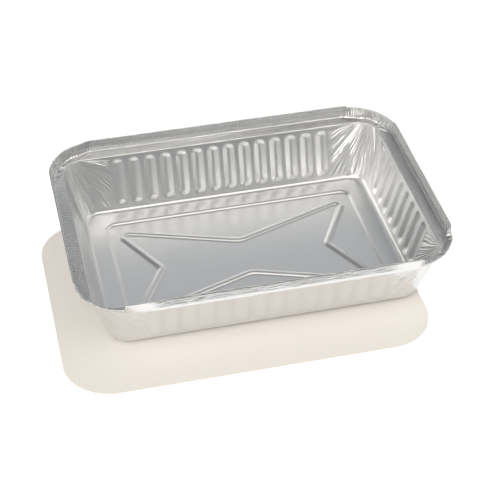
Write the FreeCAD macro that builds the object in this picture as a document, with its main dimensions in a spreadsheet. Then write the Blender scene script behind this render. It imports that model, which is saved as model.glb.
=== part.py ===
import FreeCAD, Part
import math
import os

# A rectangular food container pressed from thin aluminium foil, standing on its flat card lid.
# The frame: z = 0 is the lid's underside, x runs along the long side, and the tray is centred on x = y = 0.
# The sheet holds every size in mm, and each part below reads it from there.

doc = FreeCAD.newDocument("foil_food_container")
sheet = doc.addObject("Spreadsheet::Sheet", "sizes")

SIZES = [
    ("rim_length", 220.0, "over the lip, along x"),
    ("rim_width", 160.0, "over the lip, along y"),
    ("tray_height", 45.0, "from the underside of the floor panel to the top of the lip"),
    ("rim_radius", 30.0, "corner of the lip, seen from above"),
    ("lip_height", 7.5, "the upright lip above the ledge"),
    ("lip_lean", 1.5, "how far the lip leans outward over its height"),
    ("ledge_reach", 9.0, "from the top of the wall out to the top of the lip"),
    ("wall_batter", 10.0, "how far each wall leans outward from floor to ledge"),
    ("wall_top_radius", 14.0, "corner of the wall where it meets the ledge"),
    ("wall_foot_radius", 11.0, "corner of the wall at the floor"),
    ("foot_round", 3.0, "radius between wall and floor"),
    ("foil", 0.3, "sheet thickness, drawn thicker than real foil"),
    ("hem_thickness", 0.7, "the folded edge of the lip"),
    ("hem_height", 4.0, "depth of the folded edge"),
    ("corner_drop", 1.0, "how much lower the lip is round the corners"),
    ("lip_end", 25.0, "where the straight lips stop, in from the rim's ends"),
    ("crinkle", 0.3, "depth of the creases in the corner lip"),
    ("corner_reach", 10.0, "from the corner arc of the foot to where the folds end on a wall"),
    ("flute_pitch", 10.1, "least spacing of the flutes"),
    ("flute_margin", 1.0, "from the outermost flute to the folds"),
    ("flute_width", 7.6, "width of a flute at the wall"),
    ("flute_slope", 2.8, "run of a flute's sloping sides"),
    ("flute_end_slope", 3.2, "run of a flute's sloping ends"),
    ("flute_depth", 1.2, "how far a flute stands out of the wall"),
    ("flute_foot", 4.8, "lower end of a flute above the tray's underside"),
    ("flute_gap", 2.6, "from a flute's upper end up to the ledge"),
    ("fan_gap", 8.0, "from the ledge down to the uppermost fold on a flat wall"),
    ("fold_depth", 0.8, "depth of the corner folds at the ledge"),
    ("ring_width", 12.0, "flat ring of the floor, from the wall to the step"),
    ("panel_step", 1.2, "how far the floor panel lies below the ring"),
    ("panel_radius", 7.0, "corner of the floor panel"),
    ("star_gap_x", 5.0, "from a star tip to the panel's edge, along x"),
    ("star_gap_y", 8.0, "from a star tip to the panel's edge, along y"),
    ("star_side_share", 0.696, "inner corner on the x axis, as a share of the tip's x"),
    ("star_long_share", 0.378, "inner corner on the y axis, as a share of the tip's y"),
    ("star_tip_radius", 3.6, "rounding of the four tips"),
    ("star_side_radius", 4.0, "rounding of the inner corners on the x axis"),
    ("star_long_radius", 12.0, "rounding of the inner corners on the y axis"),
    ("bead_width", 4.4, "width of the star's raised line at its foot"),
    ("bead_height", 1.1, "height of the star's raised line"),
    ("card_gap", 3.3, "how far the lid stays within the outside of the lip, when closed"),
    ("card_radius", 28.0, "corner of the lid"),
    ("card_thickness", 0.6, "board thickness"),
    ("card_shift_x", -14.8, "centre of the lid from the centre of the tray"),
    ("card_shift_y", -21.7, "centre of the lid from the centre of the tray"),
]
for row, (alias, value, note) in enumerate(SIZES, start=1):
    sheet.set("A%d" % row, alias)
    sheet.set("B%d" % row, str(value))
    sheet.set("C%d" % row, note)
    sheet.setAlias("B%d" % row, alias)
doc.recompute()


def size(alias):
    return float(sheet.get(alias))


foil = size("foil")
ledge_level = size("tray_height") - size("lip_height")
ring_level = size("panel_step")
foot_level = ring_level + size("foot_round")
top_half_x = size("rim_length") / 2 - size("ledge_reach")
top_half_y = size("rim_width") / 2 - size("ledge_reach")

ARC_STEPS = 8
SIDE_STEPS = 5
FOOT_STEPS = 2
RIM_STEPS = 14


def wall_half(level, inset):
    """Half length, half width and corner radius of the wall at a level, drawn in by inset."""
    part = level / ledge_level
    lean = size("wall_batter") * (1 - part)
    radius = size("wall_foot_radius") + (size("wall_top_radius") - size("wall_foot_radius")) * part
    return top_half_x - lean - inset, top_half_y - lean - inset, radius - inset


# the folds of a corner end this far from the middle of each wall, and the flutes fill what is between
foot_half_x, foot_half_y, foot_corner = wall_half(foot_level, 0.0)
fan_edge_x = foot_half_x - foot_corner - size("corner_reach")
fan_edge_y = foot_half_y - foot_corner - size("corner_reach")


def flute_row(fan_edge):
    """How many flutes fit between the folds of a wall, and their spacing."""
    span = 2 * (fan_edge - size("flute_margin") - size("flute_width") / 2)
    gaps = int(span / size("flute_pitch"))
    return gaps + 1, span / gaps


def arc_points(half_x, half_y, radius, steps, level, wave=0.0):
    """One quarter of a rounded rectangle, from the short side to the long side.
    Every second point is drawn in by the wave, for creases."""
    points = []
    for i in range(steps + 1):
        angle = math.radians(90.0 * i / steps)
        reach = radius - (wave if i % 2 else 0.0)
        points.append(
            FreeCAD.Vector(
                half_x - radius + reach * math.cos(angle),
                half_y - radius + reach * math.sin(angle),
                level,
            )
        )
    return points


def quarters(points):
    """The quarter in all four corners, in one turn round the outline."""
    flips = [(1, 1), (-1, 1), (-1, -1), (1, -1)]
    result = []
    for flip_x, flip_y in flips:
        turned = [FreeCAD.Vector(p.x * flip_x, p.y * flip_y, p.z) for p in points]
        if flip_x * flip_y < 0:
            turned.reverse()
        result.append(turned)
    return result


def polygon(points):
    return Part.Face(Part.makePolygon(points + [points[0]]))


def solid_from(faces):
    shell = Part.makeShell(faces)
    shell.sewShape()
    solid = Part.makeSolid(shell)
    if solid.Volume < 0:
        solid.reverse()
    return solid


def outline(points):
    """A closed outline from the quarter of its points."""
    ring = [p for quarter in quarters(points) for p in quarter]
    return Part.makePolygon(ring + [ring[0]])


def ruled_block(lower, upper):
    return Part.makeLoft([outline(lower), outline(upper)], True, True)


def wall_form(inset, bottom, top):
    """The space within the walls, from the floor ring to the ledge. Its corners fan out in folds
    that start at the ledge and run out on the walls and at the foot."""
    rows = []
    rounding = size("foot_round") - inset
    for angle in (0, 30, 60, 90):
        turn = math.radians(angle)
        level = foot_level - rounding * math.cos(turn)
        drawn_in = size("foot_round") - rounding * math.sin(turn)
        half_x, half_y, radius = wall_half(level, drawn_in)
        rows.append(arc_points(half_x, half_y, radius, ARC_STEPS, level))
    foot = rows[-1]

    # the path the folds run out on: down the short wall, round the foot, up the long wall
    fan_top = ledge_level - size("fan_gap")
    side_levels = [fan_top + (foot_level - fan_top) * i / SIDE_STEPS for i in range(SIDE_STEPS + 1)]
    foot_x = foot[0].x
    foot_y = foot[-1].y
    short_side = [FreeCAD.Vector(wall_half(z, inset)[0], fan_edge_y, z) for z in side_levels]
    long_side = [FreeCAD.Vector(fan_edge_x, wall_half(z, inset)[1], z) for z in side_levels]
    long_side.reverse()
    short_foot = [
        FreeCAD.Vector(foot_x, fan_edge_y + (foot[0].y - fan_edge_y) * i / FOOT_STEPS, foot_level)
        for i in range(1, FOOT_STEPS)
    ]
    long_foot = [
        FreeCAD.Vector(foot[-1].x + (fan_edge_x - foot[-1].x) * i / FOOT_STEPS, foot_y, foot_level)
        for i in range(1, FOOT_STEPS)
    ]
    run_out = short_side + short_foot + foot + long_foot + long_side
    count = len(run_out) - 1

    # the folds at the ledge: points in turn in front of and behind the smooth corner
    half_x, half_y, radius = wall_half(top, inset)
    gather = []
    for i in range(count + 1):
        turn = math.radians(90.0 * i / count)
        fold = 0.0
        if 0 < i < count:
            fold = size("fold_depth") / 2 * (1 if i % 2 else -1)
        gather.append(
            FreeCAD.Vector(
                half_x - radius + (radius + fold) * math.cos(turn),
                half_y - radius + (radius + fold) * math.sin(turn),
                top,
            )
        )

    faces = []
    row_rings = [quarters(row) for row in rows]
    foot_path = [FreeCAD.Vector(foot_x, fan_edge_y, foot_level)] + short_foot + foot + long_foot
    foot_path.append(FreeCAD.Vector(fan_edge_x, foot_y, foot_level))
    foot_ring = quarters(foot_path)
    for lower, upper in zip(row_rings, row_rings[1:]):
        for k in range(4):
            for i in range(ARC_STEPS):
                faces.append(
                    polygon([lower[k][i], lower[k][i + 1], upper[k][i + 1], upper[k][i]])
                )
            after = (k + 1) % 4
            corners = [upper[after][0], upper[k][-1]]
            if upper is row_rings[-1]:
                leaving = foot_ring[k][foot_ring[k].index(upper[k][-1]):]
                coming = foot_ring[after][: foot_ring[after].index(upper[after][0]) + 1]
                corners = coming[::-1] + leaving[::-1]
            faces.append(polygon([lower[k][-1], lower[after][0]] + corners))

    run_out_ring = quarters(run_out)
    gather_ring = quarters(gather)
    for k in range(4):
        out = run_out_ring[k]
        fold = gather_ring[k]
        for i in range(count):
            faces.append(polygon([out[i], out[i + 1], fold[i + 1]]))
            faces.append(polygon([out[i], fold[i + 1], fold[i]]))
        after = (k + 1) % 4
        leaving = out[count - SIDE_STEPS]
        coming = run_out_ring[after][SIDE_STEPS]
        side_leaving = out[count - SIDE_STEPS + 1:]
        side_coming = run_out_ring[after][: SIDE_STEPS]
        faces.append(
            polygon(
                [leaving, coming]
                + side_coming[::-1]
                + [gather_ring[after][0], fold[-1]]
                + side_leaving[::-1]
            )
        )
    faces.append(polygon([p for quarter in row_rings[0] for p in quarter]))
    faces.append(polygon([p for quarter in gather_ring for p in quarter]))
    return solid_from(faces)


def flute_block(inset):
    """One flute in its own axes: x along the wall, z up it, y out of it, at the right slope.
    It starts behind the wall so that it joins the form, and its corners are cut."""
    slope = size("flute_slope")
    end_slope = size("flute_end_slope")
    depth = size("flute_depth")
    pinch = inset * math.tan(0.5 * math.atan2(depth, slope))
    behind = 0.4
    low = size("flute_foot")
    high = ledge_level - size("flute_gap")
    wires = []
    for out in (-behind, depth):
        half = size("flute_width") / 2 - slope * out / depth - pinch
        bottom = low + end_slope * out / depth + pinch
        top = high - end_slope * out / depth - pinch
        cut = half * 0.55
        ring = [
            (half, bottom + cut),
            (half, top - cut),
            (half - cut, top),
            (cut - half, top),
            (-half, top - cut),
            (-half, bottom + cut),
            (cut - half, bottom),
            (half - cut, bottom),
        ]
        points = [
            FreeCAD.Vector(along, out - size("wall_batter") * (1 - up / ledge_level), up)
            for along, up in ring
        ]
        wires.append(Part.makePolygon(points + [points[0]]))
    return Part.makeLoft(wires, True, True)


def all_flutes(inset):
    """Every flute of the four walls, as one compound."""
    block = flute_block(inset)
    flutes = []
    walls = [
        (0, fan_edge_x, top_half_y),
        (90, fan_edge_y, top_half_x),
        (180, fan_edge_x, top_half_y),
        (270, fan_edge_y, top_half_x),
    ]
    for turn, fan_edge, reach in walls:
        count, pitch = flute_row(fan_edge)
        for i in range(count):
            flute = block.copy()
            flute.translate(FreeCAD.Vector((i - (count - 1) / 2) * pitch, reach - inset, 0))
            flute.rotate(FreeCAD.Vector(0, 0, 0), FreeCAD.Vector(0, 0, 1), turn)
            flutes.append(flute)
    return Part.makeCompound(flutes)


def rim_outline(level, inset):
    """Quarter outline of the lip at a level, with creases round the corner."""
    lean = size("lip_lean") * (size("tray_height") - level) / size("lip_height")
    return arc_points(
        size("rim_length") / 2 - lean - inset,
        size("rim_width") / 2 - lean - inset,
        size("rim_radius") - inset,
        RIM_STEPS,
        level,
        size("crinkle"),
    )


panel_half_x = top_half_x - size("wall_batter") - size("ring_width")
panel_half_y = top_half_y - size("wall_batter") - size("ring_width")


def panel_form(lift):
    """The floor panel: a shallow tapered plate that hangs below the ring."""
    run = size("panel_step") * 1.2
    radius = size("panel_radius")
    pinch = lift * 0.4
    lower_half = [panel_half_x - run - pinch, panel_half_y - run - pinch]
    lower = arc_points(*lower_half, radius - run, 6, lift)
    upper = arc_points(panel_half_x - pinch, panel_half_y - pinch, radius, 6, lift + ring_level)
    return ruled_block(lower, upper)


def arc_about(centre, radius, start, end, steps):
    points = []
    for i in range(steps + 1):
        turn = start + (end - start) * i / steps
        points.append(centre + FreeCAD.Vector(math.cos(turn), math.sin(turn), 0) * radius)
    return points


def star_points(offset, level):
    """Quarter of the four-pointed star, moved outward by the offset. Each rounding keeps its centre,
    so that outlines at other offsets run parallel."""
    tip_x = panel_half_x - size("star_gap_x")
    tip_y = panel_half_y - size("star_gap_y")
    tip = FreeCAD.Vector(tip_x, tip_y, level)
    side = FreeCAD.Vector(tip_x * size("star_side_share"), 0, level)
    back = FreeCAD.Vector(0, tip_y * size("star_long_share"), level)
    rising = (tip - side).normalize()
    falling = (back - tip).normalize()
    right = FreeCAD.Vector(rising.y, -rising.x, 0)
    upper = FreeCAD.Vector(falling.y, -falling.x, 0)
    right_turn = math.atan2(right.y, right.x)
    upper_turn = math.atan2(upper.y, upper.x)

    side_radius = size("star_side_radius")
    side_centre = side + FreeCAD.Vector(side_radius / right.x, 0, 0)
    long_radius = size("star_long_radius")
    long_centre = back + FreeCAD.Vector(0, long_radius / upper.y, 0)
    tip_radius = size("star_tip_radius")
    half_angle = (math.pi - (upper_turn - right_turn)) / 2
    inward = (falling - rising).normalize()
    tip_centre = tip + inward * (tip_radius / math.sin(half_angle))

    points = arc_about(side_centre, offset - side_radius, 0.0, right_turn, 3)
    points += arc_about(tip_centre, tip_radius + offset, right_turn, upper_turn, 8)
    points += arc_about(long_centre, offset - long_radius, upper_turn, math.pi / 2, 3)
    return points


def star_outline(offset, level):
    quarter = star_points(offset, level)
    ring = []
    for turned in quarters(quarter):
        for p in turned:
            if not ring or (p - ring[-1]).Length > 1e-6:
                ring.append(p)
    if (ring[0] - ring[-1]).Length < 1e-6:
        ring.pop()
    return Part.makePolygon(ring + [ring[0]])


def star_bead(lift, pinch):
    """The raised line of the star, as a ring with sloping sides."""
    half = size("bead_width") / 2 + pinch
    crest = 0.6 + pinch
    base = lift - 0.5
    top = lift + size("bead_height")
    spread = half + (half - crest) * 0.5 / size("bead_height")
    outer = Part.makeLoft([star_outline(spread, base), star_outline(crest, top)], True, True)
    inner = Part.makeLoft([star_outline(-spread, base), star_outline(-crest, top)], True, True)
    return outer.cut(inner)


def add_form(name, shape):
    form = doc.addObject("Part::Feature", name)
    form.Shape = shape
    return form


def add_joined(kind, name, **links):
    joined = doc.addObject(kind, name)
    for link, value in links.items():
        setattr(joined, link, value)
    return joined


# The tray is its outer form less its inner form. Both come from the same functions, one sheet
# thickness apart. Their faces are planes that no primitive gives: folds, flutes and creases.
outer_wall = add_form("outer_wall", wall_form(0.0, ring_level, ledge_level - foil))
outer_flutes = add_form("outer_flutes", all_flutes(0.0))
outer_panel = add_form("outer_panel", panel_form(0.0))
outer_rim = add_form(
    "outer_rim",
    ruled_block(rim_outline(ledge_level - foil, 0.0), rim_outline(size("tray_height"), 0.0)),
)
outer_bead = add_form("outer_bead", star_bead(0.0, 0.0))
outer_body = add_joined(
    "Part::MultiFuse", "outer_body", Shapes=[outer_wall, outer_flutes, outer_panel, outer_rim]
)

# the lip is lower round each corner
drops = []
for index, (flip_x, flip_y) in enumerate([(1, 1), (-1, 1), (-1, -1), (1, -1)]):
    drop = doc.addObject("Part::Box", "corner_drop_%d" % (index + 1))
    drop.setExpression("Length", "sizes.lip_end + 1")
    drop.setExpression("Width", "sizes.lip_end + 1")
    drop.setExpression("Height", "sizes.corner_drop + 1")
    near_x = "sizes.rim_length / 2 - sizes.lip_end"
    near_y = "sizes.rim_width / 2 - sizes.lip_end"
    far = " + sizes.lip_end + 1"
    drop.setExpression("Placement.Base.x", near_x if flip_x > 0 else "-(%s%s)" % (near_x, far))
    drop.setExpression("Placement.Base.y", near_y if flip_y > 0 else "-(%s%s)" % (near_y, far))
    drop.setExpression("Placement.Base.z", "sizes.tray_height - sizes.corner_drop")
    drops.append(drop)
outer_cutters = add_joined("Part::MultiFuse", "outer_cutters", Shapes=[outer_bead] + drops)
outer_form = add_joined("Part::Cut", "outer_form", Base=outer_body, Tool=outer_cutters)

inner_wall = add_form("inner_wall", wall_form(foil, ring_level + foil, ledge_level))
inner_flutes = add_form("inner_flutes", all_flutes(foil))
inner_panel = add_form("inner_panel", panel_form(foil))
hem_level = size("tray_height") - size("hem_height")
inner_rim = add_form(
    "inner_rim",
    ruled_block(rim_outline(ledge_level, foil), rim_outline(hem_level, foil)),
)
inner_mouth = add_form(
    "inner_mouth",
    ruled_block(
        rim_outline(hem_level, size("hem_thickness")),
        rim_outline(size("tray_height") + 1.0, size("hem_thickness")),
    ),
)
inner_body = add_joined(
    "Part::MultiFuse",
    "inner_body",
    Shapes=[inner_wall, inner_flutes, inner_panel, inner_rim, inner_mouth],
)
inner_bead = add_form("inner_bead", star_bead(foil, foil * 0.4))
inner_form = add_joined("Part::Cut", "inner_form", Base=inner_body, Tool=inner_bead)

foil_tray = add_joined("Part::Cut", "foil_tray", Base=outer_form, Tool=inner_form)
foil_tray.Label = "foil_tray"
foil_tray.setExpression("Placement.Base.z", "sizes.card_thickness")

# The lid: a flat card with rounded corners
card_lid = doc.addObject("PartDesign::Body", "card_lid")
card_lid.Label = "card_lid"
board = card_lid.newObject("PartDesign::AdditiveBox", "board")
half_length = "(sizes.rim_length / 2 - sizes.card_gap)"
half_width = "(sizes.rim_width / 2 - sizes.card_gap)"
board.setExpression("Length", "2 * " + half_length)
board.setExpression("Width", "2 * " + half_width)
board.setExpression("Height", "sizes.card_thickness")
card_lid.setExpression("Placement.Base.x", "sizes.card_shift_x - " + half_length)
card_lid.setExpression("Placement.Base.y", "sizes.card_shift_y - " + half_width)
doc.recompute()
upright = [
    "Edge%d" % (i + 1)
    for i, edge in enumerate(board.Shape.Edges)
    if abs(edge.tangentAt(edge.FirstParameter).z) > 0.9
]
rounding = card_lid.newObject("PartDesign::Fillet", "rounding")
rounding.Base = (board, upright)
rounding.setExpression("Radius", "sizes.card_radius")
doc.recompute()

problems = []
for item in doc.Objects:
    if "Invalid" in item.State or "Error" in item.State:
        problems.append("%s is %s" % (item.Name, item.State))
    shape = getattr(item, "Shape", None)
    if shape is not None and (shape.isNull() or not shape.isValid()):
        problems.append("%s has no valid shape" % item.Name)
for part in (foil_tray, card_lid):
    if len(part.Shape.Solids) != 1:
        problems.append("%s has %d solids" % (part.Name, len(part.Shape.Solids)))
if problems:
    raise RuntimeError("; ".join(problems))

os.makedirs("parts", exist_ok=True)
for part in (foil_tray, card_lid):
    part.Shape.exportStep("parts/%s.step" % part.Label)
    box = part.Shape.BoundBox
    print(
        "%s: %.1f x %.1f x %.1f mm, z %.2f to %.2f, volume %.1f mm3, %d faces"
        % (
            part.Label,
            box.XLength,
            box.YLength,
            box.ZLength,
            box.ZMin,
            box.ZMax,
            part.Shape.Volume,
            len(part.Shape.Faces),
        )
    )
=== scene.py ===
# %% [markdown]
# # A pressed foil food container on its card lid
# The real object is a tray pressed in one stroke from a thin sheet of aluminium. The press leaves a stepped
# floor with a raised star, fluted walls, gathered corners, and a level ledge with an upright lip. A flat
# card lid lies under it. The measured CAD model is loaded first: it gives every place and size, and the
# pressed sheet is then made new over it, because a mesh can carry the fine folds that a solid can't.

import math
from types import SimpleNamespace

import bmesh
import bpy
import numpy as np
from mathutils import Matrix, Vector, noise


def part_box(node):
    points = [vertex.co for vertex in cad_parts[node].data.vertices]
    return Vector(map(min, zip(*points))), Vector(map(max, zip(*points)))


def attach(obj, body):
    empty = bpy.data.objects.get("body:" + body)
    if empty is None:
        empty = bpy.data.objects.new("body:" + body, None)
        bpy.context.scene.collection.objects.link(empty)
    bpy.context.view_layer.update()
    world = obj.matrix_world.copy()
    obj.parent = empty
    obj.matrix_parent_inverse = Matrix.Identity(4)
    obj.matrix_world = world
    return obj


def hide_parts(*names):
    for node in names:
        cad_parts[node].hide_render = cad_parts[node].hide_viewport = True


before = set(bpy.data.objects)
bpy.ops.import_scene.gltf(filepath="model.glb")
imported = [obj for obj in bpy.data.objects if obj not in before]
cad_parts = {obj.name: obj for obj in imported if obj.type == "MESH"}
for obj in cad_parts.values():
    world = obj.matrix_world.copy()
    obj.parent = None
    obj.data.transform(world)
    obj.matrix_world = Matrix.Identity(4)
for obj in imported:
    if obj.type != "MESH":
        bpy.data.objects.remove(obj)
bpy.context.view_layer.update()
tray_low, tray_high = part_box("foil_tray")
card_low, card_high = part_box("card_lid")
print("tray", [round(v * 1000, 1) for v in tray_high - tray_low], "mm")

# %% [markdown]
# ## The sizes of the press tool
# A pressed sheet takes the shape of its tool, so the tool's sizes come first. The outside sizes come from
# the loaded model. The others are the tool's own steps, in millimetres, above the underside of the tray.

# %% Sizes in millimetres
MM = 0.001
BASE = card_high.z / MM                     # the tray stands on the card
HALF_X = (tray_high.x - tray_low.x) / MM / 2
HALF_Y = (tray_high.y - tray_low.y) / MM / 2
TOP = (tray_high.z / MM) - BASE             # top of the lip
SKIN = 0.16                                 # the sheet's inner face lies this far within the outside
FOIL = 0.10                                 # drawn thickness of the foil
LEDGE = 37.5 - SKIN                         # level of the ledge
REACH = 9.0                                 # from the top of the wall out to the top of the lip
BATTER = 10.0                               # how far a wall leans out from the floor to the ledge
RING = 1.2 + SKIN                           # level of the flat ring of the floor
FOOT_ROUND = 2.1                            # radius of the sheet between floor and wall
FOOT = RING + FOOT_ROUND                    # level where the wall begins
FOOT_R, TOP_R = 11.0, 14.0                  # corners of the wall at the floor and at the ledge
FAN_X, FAN_Y = 70.8, 40.8                   # the corner folds end here, and the flutes begin
print("lip top", round(TOP, 2), "half sizes", round(HALF_X, 2), round(HALF_Y, 2))


# %% [markdown]
# ## The outlines of the tool
# Each level of the tool is a rounded rectangle. One function gives a point on such an outline and the
# direction that points straight out there, so the same walk round the tray serves the floor's edge, the
# wall, the ledge and the lip.

# %% Walking round an outline
def ease(t):
    t = np.clip(t, 0.0, 1.0)
    return t * t * (3.0 - 2.0 * t)


def wall_at(level):
    """Half length, half width and corner radius of the wall's inner face at a level."""
    part = (np.asarray(level, float) - SKIN) / (LEDGE - SKIN)
    lean = BATTER * (1.0 - part)
    radius = FOOT_R + (TOP_R - FOOT_R) * part - SKIN
    return HALF_X - REACH - lean - SKIN, HALF_Y - REACH - lean - SKIN, radius


def outline(turn, half_x, half_y, radius):
    """A place on a rounded rectangle, and the way out. The turn counts 3 for each quarter of the way:
    a straight, the arc of the corner, and a straight. It starts at the middle of the back."""
    quarter = np.floor(turn / 3.0).astype(int) % 4
    part = turn - 3.0 * np.floor(turn / 3.0)
    part = np.where(quarter % 2 == 1, 3.0 - part, part)
    side_x = np.where(quarter < 2, 1.0, -1.0)
    side_y = np.where((quarter == 0) | (quarter == 3), 1.0, -1.0)
    angle = np.clip(2.0 - part, 0.0, 1.0) * np.pi / 2
    x = (half_x - radius) * np.clip(part, 0.0, 1.0) + radius * np.cos(angle)
    y = (half_y - radius) * np.clip(3.0 - part, 0.0, 1.0) + radius * np.sin(angle)
    return x * side_x, y * side_y, np.cos(angle) * side_x, np.sin(angle) * side_y


def corner_share(turn):
    """How far round the nearest corner's arc a turn is, from 0 to 1, and which corner it is."""
    quarter = np.floor(turn / 3.0).astype(int) % 4
    part = turn - 3.0 * np.floor(turn / 3.0)
    return np.clip(part - 1.0, 0.0, 1.0), quarter


print("wall foot: half sizes and corner radius", [round(float(v), 1) for v in wall_at(FOOT)], "mm")

# %% [markdown]
# ## Folds and ripples
# A flat sheet that is pressed into a corner has too much material there, and it gathers into folds. Each
# fold has its own depth, because nothing guides it. The folds are a row of ridges whose depths come from a
# seeded random list, and a soft noise adds the small waves that handling leaves in thin foil.

# %% The row of folds in each corner
FOLDS = 40
dice = np.random.default_rng(7)
fold_depths = dice.uniform(0.15, 1.0, (4, FOLDS + 1))
fold_edges = np.cumsum(dice.uniform(0.5, 1.6, (4, FOLDS)), axis=1)


def ripple(x, y, z, wavelength, seed):
    """Soft noise between about -1 and 1 at each place."""
    points = np.stack([np.ravel(x), np.ravel(y), np.ravel(z)], axis=1) / wavelength + seed * 17.3
    values = [noise.noise(Vector(p)) for p in points.tolist()]
    return np.array(values).reshape(np.shape(x))


def fold_wave(share, corner, down):
    """Height of the folds at a share of the way round a corner, from about -0.4 to 0.6.
    The folds wander a little on their way down, and some of them split."""
    wandered = share + 0.022 * ripple(share * 9.0, down * 2.2, corner * 5.0, 1.0, 11)
    height = np.zeros(np.shape(share))
    for one in range(4):
        edges = np.concatenate([[0.0], fold_edges[one] / fold_edges[one, -1]])
        place = np.interp(wandered, edges, np.arange(FOLDS + 1))
        index = np.clip(np.floor(place).astype(int), 0, FOLDS - 1)
        ridge = 1.0 - np.abs(2.0 * (place - index) - 1.0)
        height = np.where(corner == one, fold_depths[one, index] * ridge - 0.3, height)
    split = ripple(share * 60.0, down * 5.0, corner * 5.0, 1.0, 12)
    return height + 0.32 * split


print(FOLDS, "folds in each corner, depths", round(fold_depths.min(), 2), "to", round(fold_depths.max(), 2))

# %% [markdown]
# ## Pressing a patch of sheet
# Every part of the tray starts as a flat grid of sheet. The press then moves each vertex of the grid to its
# place on the tool. The patch keeps a UV map in millimetres, round the tray and up its side, so that a
# pattern can follow the sheet. The real foil is under 0.1 mm thick. A Solidify modifier gives each sheet
# its thickness, which is easier than modelling two faces. The free edges are marked sharp, so that the
# smooth shading of the sheet doesn't bend round its thin edge and leave a bright line.

# %% The press
def press(bm, columns, rows, shape):
    """Adds a grid of sheet, and moves its vertices to where the shape function puts them.
    The function takes the shares across and up as arrays, and returns x, y, z, round, up in mm."""
    made = bmesh.ops.create_grid(bm, x_segments=columns, y_segments=rows, size=0.5)
    verts = made["verts"]
    across = np.array([v.co.x for v in verts]) + 0.5
    up = np.array([v.co.y for v in verts]) + 0.5
    x, y, z, around, height = shape(across, up)
    uv = bm.loops.layers.uv.verify()
    for v, px, py, pz in zip(verts, x.tolist(), y.tolist(), z.tolist()):
        v.co = Vector((px, py, pz + BASE)) * MM
    around = around.tolist()
    height = height.tolist()
    order = {v: i for i, v in enumerate(verts)}
    for face in {f for v in verts for f in v.link_faces}:
        face.smooth = True
        for loop in face.loops:
            i = order[loop.vert]
            loop[uv].uv = (around[i], height[i])


def foil_piece(name, bm):
    """Closes the patches into one sheet, gives it its thickness and returns the object."""
    bmesh.ops.remove_doubles(bm, verts=bm.verts, dist=0.002 * MM)
    for edge in bm.edges:
        edge.smooth = not edge.is_boundary
    mesh = bpy.data.meshes.new(name)
    bm.to_mesh(mesh)
    bm.free()
    piece = bpy.data.objects.new(name, mesh)
    bpy.context.scene.collection.objects.link(piece)
    thick = piece.modifiers.new("foil thickness", "SOLIDIFY")
    thick.thickness = FOIL * MM
    thick.offset = -1.0
    print(name, len(mesh.polygons), "faces before thickness")
    return piece


print("foil is drawn", FOIL, "mm thick")

# %% [markdown]
# ## The floor
# The tool presses the floor into a flat ring, a panel that lies one step lower, and a four-pointed star in
# a raised line. The star stiffens the thin floor. All of it is height on a flat sheet, so one grid is
# moved up and down. Its corners are drawn in to the rounded outline of the floor.

# %% The line of the star
PANEL_X, PANEL_Y, PANEL_R = 79.0, 49.0, 7.0
TIP = (PANEL_X - 5.0, PANEL_Y - 8.0)
SIDE_NOTCH, BACK_NOTCH = TIP[0] * 0.696, TIP[1] * 0.378
SIDE_R, TIP_R, BACK_R = 4.0, 3.6, 12.0      # roundings of the inner corners and of the tips


def arc(centre, radius, start, end, steps):
    turns = np.linspace(start, end, steps + 1)
    return np.stack([centre[0] + radius * np.cos(turns), centre[1] + radius * np.sin(turns)], axis=1)


def star_path():
    """The middle of the star's line, a quarter turned into all four."""
    tip, side, back = np.array(TIP), np.array([SIDE_NOTCH, 0.0]), np.array([0.0, BACK_NOTCH])
    rising = (tip - side) / np.linalg.norm(tip - side)
    falling = (back - tip) / np.linalg.norm(back - tip)
    right = math.atan2(-rising[0], rising[1])
    upper = math.atan2(-falling[0], falling[1])
    side_centre = side + np.array([SIDE_R / math.cos(right), 0.0])
    back_centre = back + np.array([0.0, BACK_R / math.sin(upper)])
    half_angle = (math.pi - (upper - right)) / 2
    inward = (falling - rising) / np.linalg.norm(falling - rising)
    tip_centre = tip + inward * (TIP_R / math.sin(half_angle))
    quarter = np.concatenate(
        [
            arc(side_centre, -SIDE_R, 0.0, right, 4),
            arc(tip_centre, TIP_R, right, upper, 10),
            arc(back_centre, -BACK_R, upper, math.pi / 2, 6),
        ]
    )
    turned = [quarter, quarter[::-1] * (-1, 1), -quarter, quarter[::-1] * (1, -1)]
    return np.concatenate(turned + [quarter[:1]])


print("star line", len(star_path()), "points, tip at", TIP)


# %% Distances on the floor
def star_distance(x, y):
    """Distance in mm from each place to the star's line."""
    path = star_path()
    nearest = np.full(x.shape, 1e9)
    for a, b in zip(path[:-1], path[1:]):
        step = b - a
        length = step @ step
        if length < 1e-9:
            continue
        along = np.clip(((x - a[0]) * step[0] + (y - a[1]) * step[1]) / length, 0.0, 1.0)
        gap = np.hypot(x - a[0] - along * step[0], y - a[1] - along * step[1])
        nearest = np.minimum(nearest, gap)
    return nearest


def box_distance(x, y, half_x, half_y, radius):
    """Distance outside a rounded rectangle, negative inside it."""
    over_x = np.abs(x) - (half_x - radius)
    over_y = np.abs(y) - (half_y - radius)
    outside = np.hypot(np.maximum(over_x, 0.0), np.maximum(over_y, 0.0))
    return outside + np.minimum(np.maximum(over_x, over_y), 0.0) - radius


print("the star stays", round(float(star_distance(np.zeros(1), np.zeros(1))[0]), 1), "mm off the middle")

# %% [markdown]
# ## The height of the floor
# The distance to the star's line gives a ridge, and the distance to the panel's outline gives a step. Each
# is eased, because pressed sheet has no sharp corners. A little noise gives the unevenness of thin foil,
# which bends the reflections on the floor as it does on the real one.

# %% The floor
FLOOR_X, FLOOR_Y, FLOOR_R = 88.1, 58.1, 8.0
PANEL_STEP, STAR_HEIGHT = 1.2, 1.1          # depth of the panel, and height of the star's line


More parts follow.
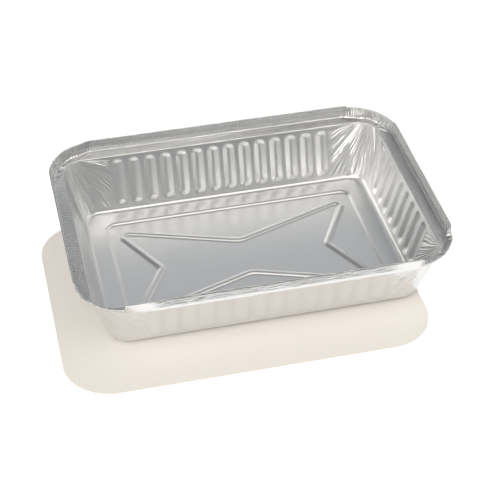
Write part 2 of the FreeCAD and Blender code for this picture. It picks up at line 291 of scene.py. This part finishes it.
def floor_shape(across, up):
    x = (across * 2 - 1) * FLOOR_X
    y = (up * 2 - 1) * FLOOR_Y
    over_x = np.maximum(np.abs(x) - (FLOOR_X - FLOOR_R), 0.0)
    over_y = np.maximum(np.abs(y) - (FLOOR_Y - FLOOR_R), 0.0)
    reach = np.hypot(over_x, over_y)
    pull = np.where(reach > 1e-6, np.maximum(over_x, over_y) / np.maximum(reach, 1e-6), 1.0)
    x = x - np.sign(x) * over_x * (1 - pull)
    y = y - np.sign(y) * over_y * (1 - pull)
    inside = -box_distance(x, y, PANEL_X, PANEL_Y, PANEL_R)
    z = RING - PANEL_STEP * ease((inside + 0.1) / 1.6)
    z = z + STAR_HEIGHT * ease((2.3 - star_distance(x, y)) / 1.7)
    soft = ease(-box_distance(x, y, FLOOR_X, FLOOR_Y, FLOOR_R) / 8.0)
    z = z + soft * (0.10 * ripple(x, y, z * 0, 40.0, 1) + 0.012 * ripple(x, y, z * 0, 9.0, 2))
    z = np.maximum(z, 0.12)
    return x, y, z, x, y


bm = bmesh.new()
press(bm, 264, 176, floor_shape)
foil_floor = foil_piece("foil_floor", bm)

# %% [markdown]
# ## The flutes
# Between the corners each wall carries a row of upright flutes: shallow pockets with rounded ends, pressed
# outward so that the thin wall stays stiff. The grid of a wall has its columns at the flutes' edges, where
# the sheet bends, and few on the flats.

# %% A row of flutes
FLUTE_W, FLUTE_DEPTH = 8.3, 1.4             # width at the wall, and how far a flute stands out
FLUTE_SLOPE, FLUTE_END = 3.7, 3.7           # run of its sloping sides and ends
FLUTE_PITCH, FLUTE_MARGIN = 10.1, 0.75      # least spacing, and the gap to the folds
FLUTE_LOW, FLUTE_HIGH = 4.8, 34.9           # levels of its ends
CREASE_DROP = 0.67                          # the wall ends this far under the ledge, where the crease begins
WALL_TOP = LEDGE - CREASE_DROP


def flute_row(fan):
    """Places of the flutes between the folds, and the columns that follow their edges."""
    span = 2 * (fan - FLUTE_MARGIN - FLUTE_W / 2)
    gaps = int(span / FLUTE_PITCH)
    centres = np.linspace(-span / 2, span / 2, gaps + 1)
    half = [0.45, 0.85, 1.5, 2.2, 2.9, 3.6, 3.9, 4.15]
    steps = [-v for v in half] + [0.0] + half
    columns = sorted([-fan, fan] + [c + s for c in centres for s in steps if abs(c + s) < fan])
    return centres, np.array(columns)


def ramp(t, round_off=0.12):
    """A straight slope from 0 to 1 with softly rounded ends."""
    t = np.clip(t, 0.0, 1.0)
    low, high = t * t / (2 * round_off), (1 - round_off) - (1 - t) ** 2 / (2 * round_off)
    middle = t - round_off / 2
    return np.where(t < round_off, low, np.where(t > 1 - round_off, high, middle)) / (1 - round_off)


def flute_depth(along, level, centres):
    """How far the wall stands out at each place."""
    nearest = centres[np.argmin(np.abs(along[:, None] - centres[None, :]), axis=1)]
    beside = (np.abs(along - nearest) - (FLUTE_W / 2 - FLUTE_SLOPE)) / FLUTE_SLOPE
    middle = (FLUTE_LOW + FLUTE_HIGH) / 2
    beyond = (np.abs(level - middle) - ((FLUTE_HIGH - FLUTE_LOW) / 2 - FLUTE_END)) / FLUTE_END
    edge = np.hypot(np.clip(beside, 0.0, 1.0), np.clip(beyond, 0.0, 1.0))
    return FLUTE_DEPTH * ramp(1.0 - edge)


print("a long wall has", len(flute_row(FAN_X)[0]), "flutes, and a short one", len(flute_row(FAN_Y)[0]))

# %% [markdown]
# ## The walls
# A wall is one flat patch that leans out, with its row of flutes and a few soft waves. The four are made by
# the same function, turned by a quarter each time. The waves die out at the edges, where the next sheet
# joins.

# %% The four walls
WALL_LEVELS = np.concatenate(
    [[FOOT], np.linspace(4.8, 8.6, 8), np.linspace(11, 29, 7), np.linspace(31.2, 35.0, 8), [WALL_TOP]]
)


def wall_shape(side):
    ways = [((1, 0), (0, 1)), ((0, -1), (1, 0)), ((-1, 0), (0, -1)), ((0, 1), (-1, 0))]
    way, out = ways[side]
    fan = FAN_X if side % 2 == 0 else FAN_Y
    centres, columns = flute_row(fan)

    def shape(across, up):
        along = np.interp(across, np.linspace(0, 1, len(columns)), columns)
        z = np.interp(up, np.linspace(0, 1, len(WALL_LEVELS)), WALL_LEVELS)
        half_x, half_y, radius = wall_at(z)
        reach = half_y if side % 2 == 0 else half_x
        calm = ease((fan - np.abs(along)) / 6.0) * ease((z - FOOT) / 4.0) * ease((WALL_TOP - z) / 4.0)
        reach = reach + flute_depth(along, z, centres)
        wave = 0.07 * ripple(along, z, z * 0 + side * 50, 26.0, 3)
        reach = reach + calm * (wave + 0.006 * ripple(along, z, z * 0 + side * 50, 7.0, 4))
        x = way[0] * along + out[0] * reach
        y = way[1] * along + out[1] * reach
        return x, y, z, along + side * 200.0, z

    return len(columns) - 1, shape


bm = bmesh.new()
for side in range(4):
    columns, shape = wall_shape(side)
    press(bm, columns, len(WALL_LEVELS) - 1, shape)
    print("wall", side, "has", columns, "columns")

# %% [markdown]
# ## The gathered corners
# In a corner the folds fan out from the top of the wall: the outermost run almost level along the walls to
# the first flute, and the middle ones run down to the floor. The grid of a corner is laid the same way,
# with its columns along the folds, so each fold stays crisp with few faces. The folds are shallow at the
# top, where the ledge holds them, and deepen on their way down. The four corners are a sheet of their own
# here, because their fine grid doesn't share its columns with the wall.

# %% Where the folds end
FOLD_TOP, FOLD_GAIN = 0.18, 0.50            # depth of the folds at the ledge, and what they gain below


def run_out(share):
    """Where each fold ends: down beside the first flute, round the foot, and up beside the next flute.
    The place is in mm past the start of the corner's arc, and a level."""
    foot_x, foot_y, foot_r = [float(v) for v in wall_at(FOOT)]
    arc_length = foot_r * math.pi / 2
    stops = np.cumsum(
        [0, WALL_TOP - FOOT, foot_x - foot_r - FAN_X, arc_length, foot_y - foot_r - FAN_Y, WALL_TOP - FOOT]
    )
    walked = share * stops[-1]
    z = np.interp(walked, stops, [WALL_TOP, FOOT, FOOT, FOOT, FOOT, WALL_TOP])
    half_x, half_y, radius = wall_at(z)
    before = FAN_X - (half_x - radius)
    after = radius * math.pi / 2 + (half_y - radius) - FAN_Y
    foot = walked - stops[2]
    place = np.where(walked < stops[1], before, np.where(walked > stops[4], after, foot))
    return place, z


print("the middle fold ends at level", round(float(run_out(np.array(0.5))[1]), 2), "mm")


# %% The gathered corners
def corner_shape(corner):
    side_x = 1.0 if corner < 2 else -1.0
    side_y = 1.0 if corner in (0, 3) else -1.0
    turned = corner % 2 == 1

    def shape(across, up):
        share = 1.0 - across if turned else across
        down = 1.0 - up
        end, end_z = run_out(share)
        top_x, top_y, top_r = wall_at(WALL_TOP)
        start = share * top_r * math.pi / 2
        place = start + (end - start) * down
        z = WALL_TOP + (end_z - WALL_TOP) * down
        half_x, half_y, radius = wall_at(z)
        arc_length = radius * math.pi / 2
        angle = (1.0 - np.clip(place / arc_length, 0.0, 1.0)) * math.pi / 2
        held = ease((1.0 - down) / 0.10) * ease(share / 0.03) * ease((1.0 - share) / 0.03)
        depth = FOLD_TOP + FOLD_GAIN * ease(down / 0.5)
        fold = depth * fold_wave(across, np.full(across.shape, corner), down)
        fold = fold + ease(down / 0.3) * 0.30 * ripple(place, z, z * 0 + corner * 40, 9.0, 5)
        fold = fold + ease(down / 0.1) * 0.15 * ripple(place, z, z * 0 + corner * 40, 3.2, 6)
        fold = fold * held
        x = half_x - radius + np.minimum(place, 0.0) + (radius + fold) * np.cos(angle)
        y = half_y - radius - np.maximum(place - arc_length, 0.0) + (radius + fold) * np.sin(angle)
        return x * side_x, y * side_y, z, place + corner * 150.0, z

    return shape


corner_bm = bmesh.new()
for corner in range(4):
    press(corner_bm, FOLDS * 6, 28, corner_shape(corner))
foil_corners = foil_piece("foil_corners", corner_bm)

# %% [markdown]
# ## The round foot
# Between the wall and the floor the tool has a rounded edge. This strip of sheet walks once round the
# tray, and ends on the flat ring just under the floor's own sheet.

# %% The foot
def foot_turns():
    straight = np.linspace(0.0, 1.0, 24)[:-1]
    curve = np.linspace(1.0, 2.0, 28)[:-1]
    after = np.linspace(2.0, 3.0, 16)[:-1]
    quarter = np.concatenate([straight, curve, after])
    back = (3.0 - quarter)[::-1]
    back = np.concatenate([[0.0], back[:-1]])
    turns = np.concatenate([quarter, back + 3.0, quarter + 6.0, back + 9.0, [12.0]])
    return np.unique(np.round(turns, 6))


TURNS = foot_turns()


def foot_shape(across, up):
    turn = np.interp(across, np.linspace(0, 1, len(TURNS)), TURNS)
    rounding = np.clip((up - 0.25) / 0.75, 0.0, 1.0) * math.pi / 2
    z = FOOT - FOOT_ROUND * np.cos(rounding)
    inset = FOOT_ROUND - FOOT_ROUND * np.sin(rounding) + np.clip(0.25 - up, 0, 1) / 0.25 * 2.0
    half_x, half_y, radius = wall_at(z)
    x, y, nx, ny = outline(turn, half_x - inset, half_y - inset, radius - inset)
    z = z - 0.012 * ease((0.3 - up) / 0.1)
    return x, y, z, turn * 50.0, z


press(bm, len(TURNS) - 1, 12, foot_shape)
foil_wall = foil_piece("foil_wall", bm)

# %% [markdown]
# ## The ledge and the lip
# At the top the wall bends out into a level ledge, and the ledge turns up into a lip. On the straight
# sides the edge of the lip is folded over inward, which makes it stiff and safe to touch. Round the
# corners the lip is only gathered, and stays lower. One profile, a list of points from the wall to the
# folded edge, is carried round the tray. This way the whole rim is one sheet, and its folds run on from the
# wall over the ledge and up the lip, as they do in one piece of foil.

# %% The sizes of the rim
LIP_LEAN, LIP_R = 1.5, 30.0                 # how far the lip leans out, and its corner seen from above
LIP_END = 0.107                             # share of a corner's arc over which the folded edge runs on
HEM = 4.0                                   # depth of the folded edge
FRONT_DIP, FRONT_BULGE = 1.2, 0.7           # the front lip is pressed down, and its foot pushed out
# each corner of the lip was bent by hand, in the order back right, front right, front left and back left:
# how much lower it stands, how much further in it starts, and how deep its crinkles are
CORNER_DROP = np.array([1.0, 4.2, 3.0, 0.9])
CORNER_FLARE = np.array([1.0, 2.4, 2.2, 0.8])
CORNER_CRINKLE = np.array([0.35, 0.7, 0.55, 0.35])
# the rows of the profile at which the crease, the ledge, the turn up, the lip, the fold and the hem end
CREASE_ROW, LEDGE_ROW, TURN_ROW, LIP_ROW, FOLD_ROW, PROFILE = 5, 11, 15, 21, 25, 30
BEND_IN, BEND_UP = 0.69, 0.9                # what the crease and the turn up take of the ledge
print("lip", round(TOP - LEDGE, 2), "mm high, corners lower by", CORNER_DROP.tolist())


# %% The columns round the rim
def rim_turns():
    straight = np.concatenate([np.linspace(0.0, 0.9, 36)[:-1], np.linspace(0.9, 1.0, 8)[:-1]])
    curve = np.linspace(1.0, 2.0, FOLDS * 6 + 1)[:-1]
    after = np.concatenate([np.linspace(2.0, 2.1, 8)[:-1], np.linspace(2.1, 3.0, 24)[:-1]])
    quarter = np.concatenate([straight, curve, after])
    mirrored = np.sort(3.0 - quarter)
    turns = np.concatenate([quarter, mirrored + 3.0, quarter + 6.0, mirrored + 9.0, [0.0, 12.0]])
    return np.unique(np.round(turns, 6))


RIM_TURNS = rim_turns()
RIM_QUARTER = 170.0                         # length of a quarter of the rim in mm


def rim_distance(turn):
    """How far round the rim a turn is, in mm along the middle of the ledge."""
    quarter = np.floor(turn / 3.0)
    part = turn - 3.0 * quarter
    mirrored = quarter.astype(int) % 2 == 1
    part = np.where(mirrored, 3.0 - part, part)
    walked = np.interp(part, [0.0, 1.0, 2.0, 3.0], [0.0, 83.5, 116.5, RIM_QUARTER])
    return quarter * RIM_QUARTER + np.where(mirrored, RIM_QUARTER - walked, walked)


print(len(RIM_TURNS) - 1, "columns round the rim")

# %% [markdown]
# ## The lines that the rim follows
# Three lines guide the rim: the top of the wall, the foot of the lip and the top of the lip. The bent
# corners and the pressed front lip are made by moving these lines, so that every row between them follows.

# %% The three lines of the rim
def rim_lines(turn, up):
    """Places as pairs of rows, x and y, in mm, and what the folds and bends do at each turn."""
    rim = SimpleNamespace()
    share, rim.corner = corner_share(turn)
    rim.folds = fold_wave(share, rim.corner, up)
    rim.in_corner = ease(share / 0.06) * ease((1.0 - share) / 0.06)
    rim.hemmed = 1.0 - ease((share - LIP_END + 0.01) / 0.02) * ease((1.0 - share - LIP_END + 0.01) / 0.02)
    rim.front = 1.0 - ease((np.abs(turn - 6.0) - 0.82) / 0.2)

    wall = np.array(outline(turn, *[float(v) for v in wall_at(LEDGE)]))
    foot = np.array(outline(turn, HALF_X - LIP_LEAN - SKIN, HALF_Y - LIP_LEAN - SKIN, LIP_R - LIP_LEAN - SKIN))
    top = np.array(outline(turn, HALF_X - SKIN, HALF_Y - SKIN, LIP_R - SKIN))
    rim.wall, rim.wall_out, rim.top_out = wall[:2], wall[2:], top[2:]

    flare = CORNER_FLARE[rim.corner] * ease(share / 0.16) * ease((1.0 - share) / 0.16)
    flare = np.minimum(flare, np.hypot(*(foot[:2] - rim.wall)) - 1.7)
    rim.foot = foot[:2] - foot[2:] * (flare - FRONT_BULGE * rim.front)
    rim.gap = np.hypot(*(rim.foot - rim.wall))
    rim.across = (rim.foot - rim.wall) / rim.gap
    lower = (1.0 - rim.hemmed) * (CORNER_DROP[rim.corner] + 0.7 * rim.folds)
    rim.top = TOP - 0.22 - lower - FRONT_DIP * rim.front
    rim.rise = rim.top - LEDGE
    rim.lean = (top[:2] - rim.foot) / rim.rise
    return rim


def belly(rim, height):
    """The front lip was pressed in at its top, so that it leans inward above its foot."""
    part = height / rim.rise
    return rim.front * np.where(part < 0.12, 4.2 * part, 0.5 - (part - 0.12) / 0.88 * 2.7)


def bend(start, corner, end, share):
    """A soft bend between two flats, as points along it."""
    keep = 1.0 - share
    return start * keep * keep + corner * 2 * keep * share + end * share * share


print("the middle of the back lip rises", round(float(rim_lines(np.zeros(1), np.zeros(1)).rise[0]), 2), "mm")

# %% [markdown]
# ## The profile
# The profile is a row of short stretches. Each one fills in its own rows of vertices and leaves the others,
# so a stretch can be read, and changed, by itself.

# %% From the wall to the foot of the lip
def ledge_rows(rim, step, place, z):
    crease = step <= CREASE_ROW
    t = np.clip(step / CREASE_ROW, 0.0, 1.0)
    place = np.where(crease, rim.wall + rim.wall_out * bend(-0.177, 0.0, BEND_IN, t), place)
    z = np.where(crease, LEDGE + bend(-CREASE_DROP, 0.0, 0.0, t), z)

    ledge = (step > CREASE_ROW) & (step <= LEDGE_ROW)
    t = (step - CREASE_ROW) / (LEDGE_ROW - CREASE_ROW)
    out = BEND_IN + (rim.gap - BEND_UP - BEND_IN) * t
    turned = (rim.wall_out - rim.across) * BEND_IN * (1 - t)
    place = np.where(ledge, rim.wall + rim.across * out + turned, place)

    turn_up = (step > LEDGE_ROW) & (step <= TURN_ROW)
    t = np.clip((step - LEDGE_ROW) / (TURN_ROW - LEDGE_ROW), 0.0, 1.0)
    out, height = bend(-BEND_UP, 0.0, 0.0, t), bend(0.0, 0.0, BEND_UP, t)
    place = np.where(turn_up, rim.foot + rim.across * out + rim.lean * height, place)
    return place, np.where(turn_up, LEDGE + height, z)


print("the ledge ends at row", LEDGE_ROW, "of", PROFILE)


# %% The lip and its folded edge
def lip_rows(rim, step, place, z):
    lip = (step > TURN_ROW) & (step <= LIP_ROW)
    t = (step - TURN_ROW) / (LIP_ROW - TURN_ROW)
    height = BEND_UP + (rim.rise - BEND_UP) * t
    place = np.where(lip, rim.foot + rim.lean * height + rim.top_out * belly(rim, height), place)
    z = np.where(lip, LEDGE + height, z)

    # over the top
    fold = (step > LIP_ROW) & (step <= FOLD_ROW)
    t = np.clip((step - LIP_ROW) / (FOLD_ROW - LIP_ROW), 0.0, 1.0) * math.pi
    back = 0.19 * (1 - np.cos(t))
    folded = rim.foot + rim.lean * rim.rise - rim.top_out * (back - belly(rim, rim.rise))
    place = np.where(fold, folded, place)
    z = np.where(fold, rim.top + 0.1 * np.sin(t), z)

    # and down again inside, a little open at its lower edge
    hem = step > FOLD_ROW
    t = (step - FOLD_ROW) / (PROFILE - FOLD_ROW)
    drop = (HEM * rim.hemmed + 0.35 * (1 - rim.hemmed)) * t
    back = 0.38 + 0.32 * t * t * rim.hemmed
    inside = rim.foot + rim.lean * (rim.rise - drop) - rim.top_out * (back - belly(rim, rim.rise - drop))
    return np.where(hem, inside, place), np.where(hem, rim.top - drop, z)


print("the folded edge is", HEM, "mm deep and takes", PROFILE - FOLD_ROW, "rows")

# %% [markdown]
# ## Folds and handling on the rim
# The folds of a corner run from the wall over the ledge, where they stand up, and on up the lip, where they
# stand out. Then the whole rim sways a little, and the corners are crinkled, as a hand leaves them.

# %% Folds, sway and crinkles
def fold_rim(rim, step, place, z):
    on_ledge = 0.22 + 0.25 * (step - CREASE_ROW) / (LEDGE_ROW - CREASE_ROW)
    near = np.where(step <= CREASE_ROW, 0.22, np.where(step <= LEDGE_ROW, on_ledge, 0.42))
    push = rim.in_corner * near * rim.folds
    level = np.clip((step - 2.5) / 3.0, 0.0, 1.0) * np.clip((13.0 - step) / 3.0, 0.0, 1.0)
    way = rim.wall_out * (step <= LEDGE_ROW) + rim.top_out * (step > LEDGE_ROW)
    return place + way * push * (1.0 - level), z + push * level * 0.9


def handle_rim(rim, step, place, z):
    x, y = place
    sway = ripple(x, y, z * 0, 26.0, 8) * 0.35 + ripple(x, y, z * 0, 8.0, 9) * 0.10
    bent = rim.in_corner * CORNER_CRINKLE[rim.corner]
    crinkle = ripple(x, y, z, 5.5, 13) * (0.10 + bent) + ripple(x, y, z, 2.6, 14) * (0.03 + 0.4 * bent)
    crinkle = crinkle * np.clip((step - 4) / 3.0, 0.0, 1.0) * np.where(step >= LIP_ROW, 0.5, 1.0)
    held = np.clip((step - CREASE_ROW) / 10.0, 0.0, 1.0)
    flat = np.clip((14.0 - step) / 3.0, 0.0, 1.0)
    place = place + rim.top_out * sway * held * 0.6 - rim.top_out * held * 0.12
    place = place + rim.top_out * crinkle * (1.0 - flat)
    z = z + crinkle * flat
    return place, z + sway * 0.35 * np.clip((step - CREASE_ROW) / 3.0, 0.0, 1.0) * flat


print("crinkles of the corners", CORNER_CRINKLE.tolist(), "mm")


# %% The whole rim
def rim_shape(across, up):
    turn = np.interp(across, np.linspace(0, 1, len(RIM_TURNS)), RIM_TURNS)
    step = np.round(up * PROFILE)
    rim = rim_lines(turn, up)
    place, z = rim.wall.copy(), np.full(step.shape, LEDGE)
    for stage in (ledge_rows, lip_rows, fold_rim, handle_rim):
        place, z = stage(rim, step, place, z)
    x = np.clip(place[0], -HALF_X + FOIL, HALF_X - FOIL)
    y = np.clip(place[1], -HALF_Y + FOIL, HALF_Y - FOIL)
    rows = [0, CREASE_ROW, LEDGE_ROW, TURN_ROW, LIP_ROW, FOLD_ROW, PROFILE]
    walked = np.interp(step, rows, [0, 1.2, 7.2, 8.6, 15.0, 15.8, 19.8])
    return x, y, np.minimum(z, TOP - FOIL), rim_distance(turn), walked + 40.0


bm = bmesh.new()
press(bm, len(RIM_TURNS) - 1, PROFILE, rim_shape)
foil_lip = foil_piece("foil_lip", bm)


# %% [markdown]
# ## Finishes
# A material is a small tree of nodes. Each finish below adds its nodes with the same short function, and
# writes its colours as sRGB hex codes, which is how a paint or a picture editor names them.

# %% A helper for materials
def colour(code):
    """An sRGB hex colour as linear numbers."""
    values = [int(code[i : i + 2], 16) / 255 for i in (0, 2, 4)]
    linear = [v / 12.92 if v <= 0.04045 else ((v + 0.055) / 1.055) ** 2.4 for v in values]
    return (*linear, 1.0)


def add(material, kind, settings=None, links=None):
    """Adds a node, sets its properties and sockets, and links its inputs."""
    tree = material.node_tree
    node = tree.nodes.new(kind)
    for key, value in (settings or {}).items():
        if isinstance(key, str) and hasattr(node, key):
            setattr(node, key, value)
        else:
            node.inputs[key].default_value = value
    for key, socket in (links or {}).items():
        tree.links.new(socket, node.inputs[key])
    return node


def new_material(name):
    material = bpy.data.materials.new(name)
    material.use_nodes = True
    material.node_tree.nodes.clear()
    return material


print("sRGB grey 808080 is", round(colour("808080")[0], 3), "linear")

# %% [markdown]
# ## Rolled aluminium foil
# Foil is cold-rolled between polished rolls, which leaves a bright side with a fine grain along the roll.
# It is a metal, so it has no colour of its own but a pale grey tint, and it reflects everything round it.
# The grain softens those reflections, which gives the satin sheen, and small dents break them up. The rim
# is also crimped by the press, with ribs about 1.5 mm and fine creases that run along it. These are
# shallow and only a few pixels apart, so they are bump in the material and not geometry.

# %% Crimps and creases of the rim
RIB_SCALE = 0.21                            # a wave texture repeats every 0.314 / scale, here in mm


def add_crimps(material, place, normal, crimp):
    """Bump for the ribs and creases of the rim, over the bump that is there. Depth in mm."""
    # crimps across the rim, on a UV map in mm: a band every 1.5 mm
    waves = add(
        material, "ShaderNodeTexWave",
        {"Scale": RIB_SCALE, "Distortion": 0.7, "Detail": 2.0, "Detail Scale": 1.2},
        {"Vector": place.outputs["UV"]},
    )
    ridges = add(material, "ShaderNodeMath", {"operation": "POWER", 1: 2.5}, {0: waves.outputs["Fac"]})
    # the front lip, 340 mm round the rim and from 48 mm up the sheet, was pressed nearly smooth by hand
    parts = add(material, "ShaderNodeSeparateXYZ", {}, {0: place.outputs["UV"]})
    front = add(
        material, "ShaderNodeMath", {"operation": "COMPARE", 1: 2 * RIM_QUARTER, 2: 86.0},
        {0: parts.outputs["X"]},
    )
    on_lip = add(
        material, "ShaderNodeMapRange",
        {"From Min": 46.5, "From Max": 48.5, "To Min": 0.0, "To Max": -0.85}, {"Value": parts.outputs["Y"]},
    )
    kept = add(
        material, "ShaderNodeMath", {"operation": "MULTIPLY_ADD", 2: 1.0},
        {0: front.outputs[0], 1: on_lip.outputs[0]},
    )
    pressed = add(
        material, "ShaderNodeMath", {"operation": "MULTIPLY"}, {0: ridges.outputs[0], 1: kept.outputs[0]}
    )
    crimps = add(
        material, "ShaderNodeBump", {"Strength": 1.0, "Distance": crimp * MM},
        {"Height": pressed.outputs[0], "Normal": normal},
    )
    # creases along the rim, 6 mm long and 0.8 mm wide
    along = add(
        material, "ShaderNodeMapping", {"Scale": (0.16, 1.3, 1.0)}, {"Vector": place.outputs["UV"]}
    )
    lines = add(material, "ShaderNodeTexNoise", {"Scale": 1.0, "Detail": 4.0}, {"Vector": along.outputs[0]})
    creases = add(
        material, "ShaderNodeBump", {"Strength": 1.0, "Distance": 0.14 * MM},
        {"Height": lines.outputs[0], "Normal": crimps.outputs[0]},
    )
    return creases.outputs[0]


print("ribs every", round(0.314 / RIB_SCALE, 1), "mm")


# %% Bright and crimped foil
def foil_material(name, roughness, dent, crimp=0.0):
    """Foil. The depth of its dents and of its crimps is in mm."""
    material = new_material(name)
    place = add(material, "ShaderNodeTexCoord")
    # the grain of the rolls runs along X: streaks 17 mm long and 1 mm wide, drawn coarser than the real
    # ones of about 0.05 mm, which wouldn't show
    grain_map = add(
        material, "ShaderNodeMapping", {"Scale": (60.0, 900.0, 500.0)}, {"Vector": place.outputs["Object"]}
    )
    grain = add(
        material, "ShaderNodeTexNoise", {"Scale": 1.0, "Detail": 2.0}, {"Vector": grain_map.outputs[0]}
    )
    fine = add(
        material, "ShaderNodeBump", {"Strength": 0.3, "Distance": 0.02 * MM}, {"Height": grain.outputs[0]}
    )
    # dents from handling, 4.5 mm across
    dents = add(
        material, "ShaderNodeTexNoise", {"Scale": 220.0, "Detail": 3.0, "Roughness": 0.55},
        {"Vector": place.outputs["Object"]},
    )
    rough = add(
        material, "ShaderNodeBump", {"Strength": 1.0, "Distance": dent * MM},
        {"Height": dents.outputs[0], "Normal": fine.outputs[0]},
    )
    normal = add_crimps(material, place, rough.outputs[0], crimp) if crimp > 0 else rough.outputs[0]
    shader = add(
        material, "ShaderNodeBsdfPrincipled",
        {"Base Color": colour("e6e7e8"), "Metallic": 1.0, "Roughness": roughness}, {"Normal": normal},
    )
    add(material, "ShaderNodeOutputMaterial", {}, {"Surface": shader.outputs[0]})
    return material


# %% Foil on the four pieces
bright_foil = foil_material("bright rolled aluminium foil", 0.34, 0.03)
crimped_foil = foil_material("crimped aluminium foil", 0.25, 0.08, 0.18)
foil_floor.data.materials.append(bright_foil)
foil_wall.data.materials.append(bright_foil)
foil_corners.data.materials.append(bright_foil)
foil_lip.data.materials.append(crimped_foil)

for piece in (foil_floor, foil_wall, foil_corners, foil_lip):
    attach(piece, "root")
    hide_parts("foil_tray")
    print(piece.name, "is", piece.data.materials[0].name)

# %% [markdown]
# ## Paper board
# The lid is cut from grey board with a white paper liner. The liner is not glossy: it scatters light, which
# gives an even, warm white, and only a faint tooth of paper fibres. The CAD sheet is already right in
# shape, so it keeps its mesh and only gets its finish.

# %% White lined paper board
def board_material():
    material = new_material("white lined paper board")
    place = add(material, "ShaderNodeTexCoord")
    # fibre clumps, 1.1 mm across, drawn coarser than the real 0.3 mm
    fibre = add(
        material, "ShaderNodeTexNoise", {"Scale": 900.0, "Detail": 3.0}, {"Vector": place.outputs["Object"]}
    )
    bump = add(
        material, "ShaderNodeBump", {"Strength": 0.15, "Distance": 0.04 * MM}, {"Height": fibre.outputs[0]}
    )
    shader = add(
        material, "ShaderNodeBsdfPrincipled", {"Base Color": colour("f9f5f0"), "Roughness": 0.75},
        {"Normal": bump.outputs[0]},
    )
    add(material, "ShaderNodeOutputMaterial", {}, {"Surface": shader.outputs[0]})
    return material


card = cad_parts["card_lid"]
card.data.materials.clear()
card.data.materials.append(board_material())
print("card lid", [round(v * 1000, 1) for v in card_high - card_low], "mm")

# %% [markdown]
# ## The studio floor
# The tray stands on a large sheet of white paper. The paper glows a little, so that it reads as white right
# to the edge of the picture. The glow shows to the eye and in the foil's reflections, but it gives no light
# to matt surfaces, and the paper still takes the tray's shadow.

# %% The floor of white paper
bpy.context.scene.view_settings.view_transform = "Standard"
bm = bmesh.new()
bmesh.ops.create_grid(bm, x_segments=1, y_segments=1, size=4.0)
floor_mesh = bpy.data.meshes.new("studio floor")
bm.to_mesh(floor_mesh)
bm.free()
studio_floor = bpy.data.objects.new("studio_floor", floor_mesh)
bpy.context.scene.collection.objects.link(studio_floor)

paper = new_material("white studio paper")
matt = add(paper, "ShaderNodeBsdfDiffuse", {"Color": colour("e2e2e2")})
rays = add(paper, "ShaderNodeLightPath")
seen = add(
    paper, "ShaderNodeMath", {"operation": "MAXIMUM"},
    {0: rays.outputs["Is Camera Ray"], 1: rays.outputs["Is Glossy Ray"]},
)
seen = add(
    paper, "ShaderNodeMath", {"operation": "MAXIMUM"},
    {0: seen.outputs[0], 1: rays.outputs["Is Transmission Ray"]},
)
share = add(paper, "ShaderNodeMath", {"operation": "MULTIPLY", 1: 0.56}, {0: seen.outputs[0]})
glow = add(paper, "ShaderNodeEmission", {"Color": (1.0, 1.0, 1.0, 1.0)}, {"Strength": share.outputs[0]})
both = add(paper, "ShaderNodeAddShader", {}, {0: matt.outputs[0], 1: glow.outputs[0]})
add(paper, "ShaderNodeOutputMaterial", {}, {"Surface": both.outputs[0]})
floor_mesh.materials.append(paper)
print("studio floor", studio_floor.dimensions.x, "m wide")

# %% [markdown]
# ## Soft light
# Foil shows its surroundings, so the light is really a picture of the room: four large soft lamps, and an
# even grey surround that is darker than they are. The lamp at the front left is the strongest, and does
# most for the right wall. The high one in front lights the card, the front wall, the ledges and the back of
# the floor. The back one puts the sheen on the front of the floor, and the one at the right lights the left
# lip. A lamp's edge shows in foil as the edge of a reflection, so the lamps are large.

# %% Surround and lamps
world = bpy.data.worlds.new("studio surround")
bpy.context.scene.world = world
world.use_nodes = True
world.node_tree.nodes["Background"].inputs["Color"].default_value = colour("797978")
world.node_tree.nodes["Background"].inputs["Strength"].default_value = 1.0


def soft_lamp(name, place, aim, width, depth, power, tint):
    data = bpy.data.lights.new(name, "AREA")
    data.shape = "RECTANGLE"
    data.size, data.size_y = width, depth
    data.energy = power
    data.color = colour(tint)[:3]
    lamp = bpy.data.objects.new(name, data)
    lamp.location = place
    lamp.rotation_euler = (Vector(aim) - Vector(place)).to_track_quat("-Z", "Y").to_euler()
    bpy.context.scene.collection.objects.link(lamp)
    print(name, power, "W")
    return lamp


soft_lamp("front left soft lamp", (-1.3, -1.1, 0.95), (0.0, 0.0, 0.0), 1.4, 1.2, 18.0, "fffaf3")
soft_lamp("front high soft lamp", (-0.1, -0.85, 1.35), (-0.05, -0.1, 0.0), 2.0, 1.3, 12.2, "fffaf3")
soft_lamp("back soft lamp", (0.35, 1.9, 1.5), (0.0, 0.0, 0.0), 3.0, 1.5, 6.0, "eef1f5")
soft_lamp("right soft lamp", (1.7, 0.0, 1.1), (0.0, 0.0, 0.0), 1.6, 1.4, 7.7, "fffcf7")

# %% [markdown]
# ## The camera
# A long lens from some 0.9 m away keeps the sides of the tray nearly parallel, as in a product picture. The
# camera's direction is built from three angles, and the shift moves the picture without turning the camera.

# %% The camera
AZIMUTH, ELEVATION, ROLL = -12.767, 39.571, -0.469
az, el, roll = [math.radians(v) for v in (AZIMUTH, ELEVATION, ROLL)]
ahead = Vector((-math.sin(az) * math.cos(el), math.cos(az) * math.cos(el), -math.sin(el)))
right = ahead.cross(Vector((0, 0, 1))).normalized()
above = right.cross(ahead)
right_rolled = right * math.cos(roll) + above * math.sin(roll)
above_rolled = above * math.cos(roll) - right * math.sin(roll)
camera_data = bpy.data.cameras.new("camera")
camera_data.lens = 104.29
camera_data.sensor_width = 36.0
camera_data.shift_x = 0.0086
camera_data.shift_y = 0.0122
camera = bpy.data.objects.new("camera", camera_data)
turn_matrix = Matrix((right_rolled, above_rolled, -ahead)).transposed().to_4x4()
camera.matrix_world = Matrix.Translation((-0.1506, -0.6648, 0.5639)) @ turn_matrix
bpy.context.scene.collection.objects.link(camera)
bpy.context.scene.camera = camera
print("camera", round(camera.matrix_world.translation.length, 2), "m from the middle of the tray")
